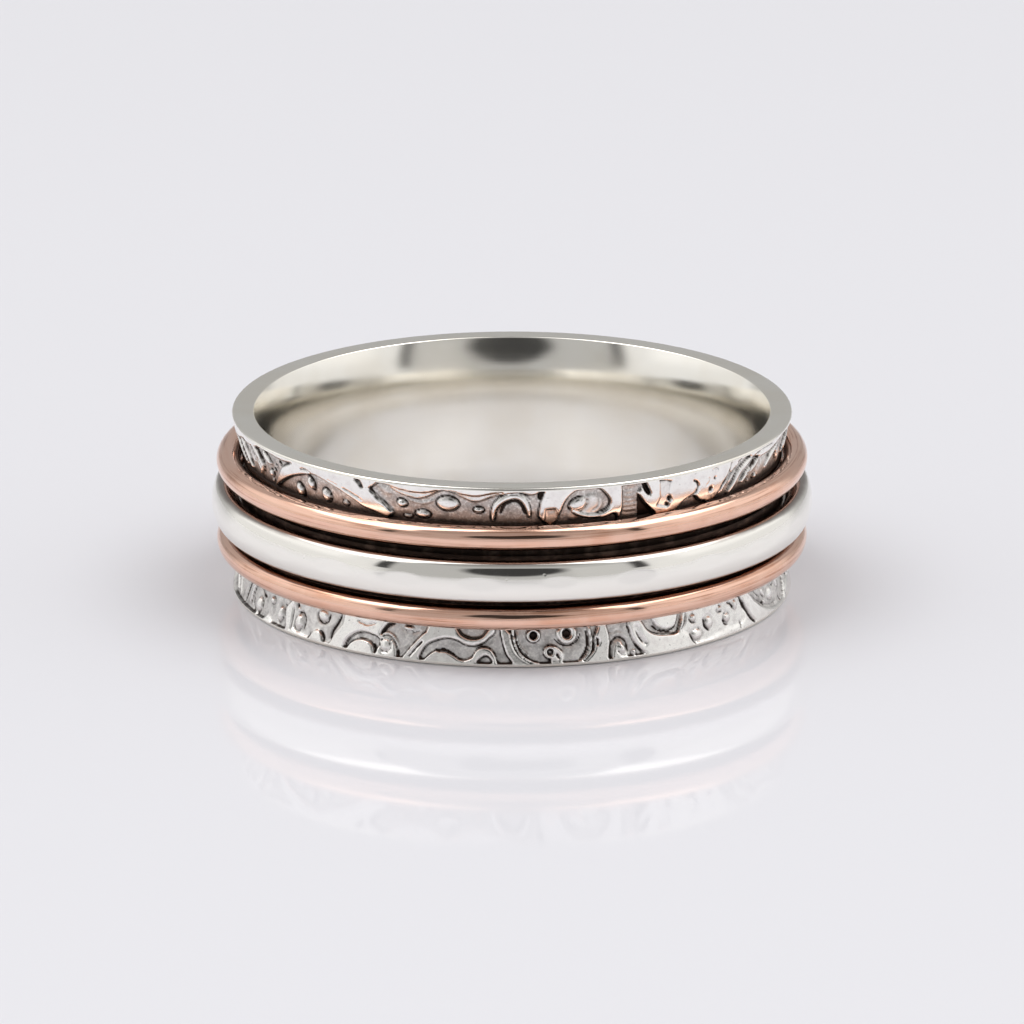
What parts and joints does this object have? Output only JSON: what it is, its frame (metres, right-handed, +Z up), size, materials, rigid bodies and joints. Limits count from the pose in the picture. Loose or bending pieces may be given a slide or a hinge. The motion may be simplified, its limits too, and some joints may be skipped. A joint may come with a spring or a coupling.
{
  "type": "spinner ring",
  "caption": "Flared silver finger ring with cast scroll relief that carries loose copper and silver bands, which spin freely round it.",
  "frame": {"origin": "centre of the finger bore at the lower rim face, on which the ring lies", "axes": "+Z up along the axis of the finger bore, -Y towards the side that the picture shows in front"},
  "size_m": [0.022, 0.022, 0.0068],
  "materials": {
    "band_silver": "satin",
    "spinner_silver": "polished",
    "spinner_copper": "polished"
  },
  "bodies": {
    "band": {"base_band": "band_silver"},
    "upper_spinner": {"upper_copper_spinner": "spinner_copper"},
    "centre_spinner": {"centre_silver_spinner": "spinner_silver"},
    "lower_spinner": {"lower_copper_spinner": "spinner_copper"}
  },
  "joints": [
    {"name": "upper_spin", "type": "hinge", "parent": "band", "child": "upper_spinner", "pos_m": [0, 0, 0.0049], "axis": [0, 0, 1], "continuous": true},
    {"name": "centre_spin", "type": "hinge", "parent": "band", "child": "centre_spinner", "pos_m": [0, 0, 0.00337], "axis": [0, 0, 1], "continuous": true},
    {"name": "lower_spin", "type": "hinge", "parent": "band", "child": "lower_spinner", "pos_m": [0, 0, 0.00185], "axis": [0, 0, 1], "continuous": true}
  ]
}
